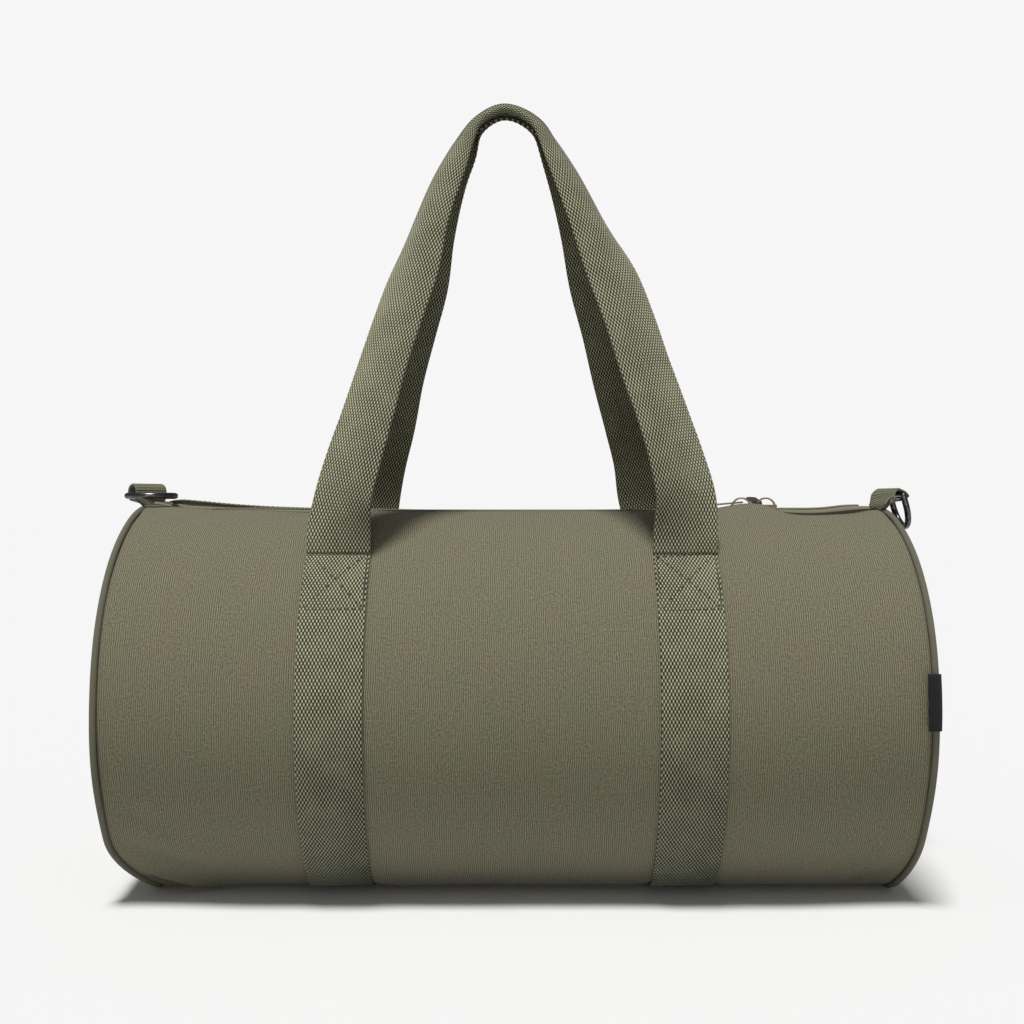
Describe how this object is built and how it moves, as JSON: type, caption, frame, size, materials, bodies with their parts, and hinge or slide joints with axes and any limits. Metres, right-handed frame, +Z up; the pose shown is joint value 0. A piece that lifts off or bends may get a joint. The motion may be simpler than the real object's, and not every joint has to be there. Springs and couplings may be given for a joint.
{
  "type": "duffel bag",
  "caption": "Barrel duffel bag with webbing carry handles sewn round the body, a top zip with facing sliders, piped round ends and a D-ring tab on each end.",
  "frame": {"origin": "on the floor under the middle of the bag, on the flat of its underside", "axes": "+X along the bag to the wearer's right as seen from the front, -Y is the front face, +Z up"},
  "size_m": [0.5343, 0.2548, 0.5239],
  "materials": {
    "canvas": "olive canvas, plain weave",
    "piping_cloth": "olive cloth wrapped over cord",
    "piping_core": "twisted cotton cord",
    "binding_tape": "dark woven binding",
    "webbing": "beaded olive webbing",
    "tab_webbing": "ribbed olive webbing",
    "zip_tape": "olive herringbone tape",
    "zip_chain": "olive nylon coil",
    "zip_metal": "dark antique brass",
    "ring_metal": "gunmetal plating",
    "label_cloth": "plain black woven tag"
  },
  "bodies": {
    "root": {"body_panel": "canvas", "end_panel_left": "canvas", "end_panel_right": "canvas", "piping_left": "piping_cloth", "piping_right": "piping_cloth", "piping_cord_left": "piping_core", "piping_cord_right": "piping_core", "seam_binding_left": "binding_tape", "seam_binding_right": "binding_tape", "girth_strap_left": "webbing", "girth_strap_right": "webbing", "zip_stop_left": "zip_metal", "zip_stop_right": "zip_metal", "ring_tab_left": "tab_webbing", "ring_tab_right": "tab_webbing", "side_label": "label_cloth"},
    "lip_front": {"mouth_front": "canvas", "zip_tape_front": "zip_tape", "zip_chain_front": "zip_chain"},
    "lip_back": {"mouth_back": "canvas", "zip_tape_back": "zip_tape", "zip_chain_back": "zip_chain"},
    "slider_left": {"slider_left": "zip_metal"},
    "slider_right": {"slider_right": "zip_metal"},
    "pull_left": {"pull_left": "zip_metal"},
    "pull_right": {"pull_right": "zip_metal"},
    "handle_front": {"handle_front": "webbing"},
    "handle_back": {"handle_back": "webbing"},
    "ring_left": {"d_ring_left": "ring_metal"},
    "ring_right": {"d_ring_right": "ring_metal"}
  },
  "joints": [
    {"name": "handle_front_fold", "type": "hinge", "parent": "root", "child": "handle_front", "pos_m": [0, -0.08059, 0.2186], "axis": [1, 0, 0], "range_deg": [0, 135]},
    {"name": "handle_back_fold", "type": "hinge", "parent": "root", "child": "handle_back", "pos_m": [0, 0.08059, 0.2186], "axis": [1, 0, 0], "range_deg": [-135, 0]},
    {"name": "slider_left_slide", "type": "slide", "parent": "root", "child": "slider_left", "axis": [1, 0, 0], "range_m": [-0.352, 0], "deforming": ["zip_tape_front", "zip_tape_back", "zip_chain_front", "zip_chain_back"]},
    {"name": "slider_right_slide", "type": "slide", "parent": "root", "child": "slider_right", "axis": [1, 0, 0], "range_m": [0, 0.023]},
    {"name": "lip_front_fold", "type": "hinge", "parent": "root", "child": "lip_front", "pos_m": [0, -0.06775, 0.22233], "axis": [1, 0, 0], "range_deg": [0, 50]},
    {"name": "lip_back_fold", "type": "hinge", "parent": "root", "child": "lip_back", "pos_m": [0, 0.06775, 0.22233], "axis": [1, 0, 0], "range_deg": [-50, 0]},
    {"name": "pull_left_swing", "type": "hinge", "parent": "slider_left", "child": "pull_left", "pos_m": [0.1573, 0, 0.2486], "axis": [0, 1, 0], "range_deg": [0, 165]},
    {"name": "pull_right_swing", "type": "hinge", "parent": "slider_right", "child": "pull_right", "pos_m": [0.16844, 0, 0.2482], "axis": [0, 0, 1], "range_deg": [-50, 18]},
    {"name": "ring_left_swing", "type": "hinge", "parent": "root", "child": "ring_left", "pos_m": [-0.25, 0, 0.253], "axis": [0.7071, 0.7071, 0], "range_deg": [-190, 0]},
    {"name": "ring_right_swing", "type": "hinge", "parent": "root", "child": "ring_right", "pos_m": [0.264, 0, 0.253], "axis": [0, 1, 0], "range_deg": [-190, 15]}
  ],
  "couplings": [
    {"joint": "lip_front_fold", "follows": "slider_left_slide", "rad_per_m": -2.4767},
    {"joint": "lip_back_fold", "follows": "slider_left_slide", "rad_per_m": 2.4767}
  ]
}
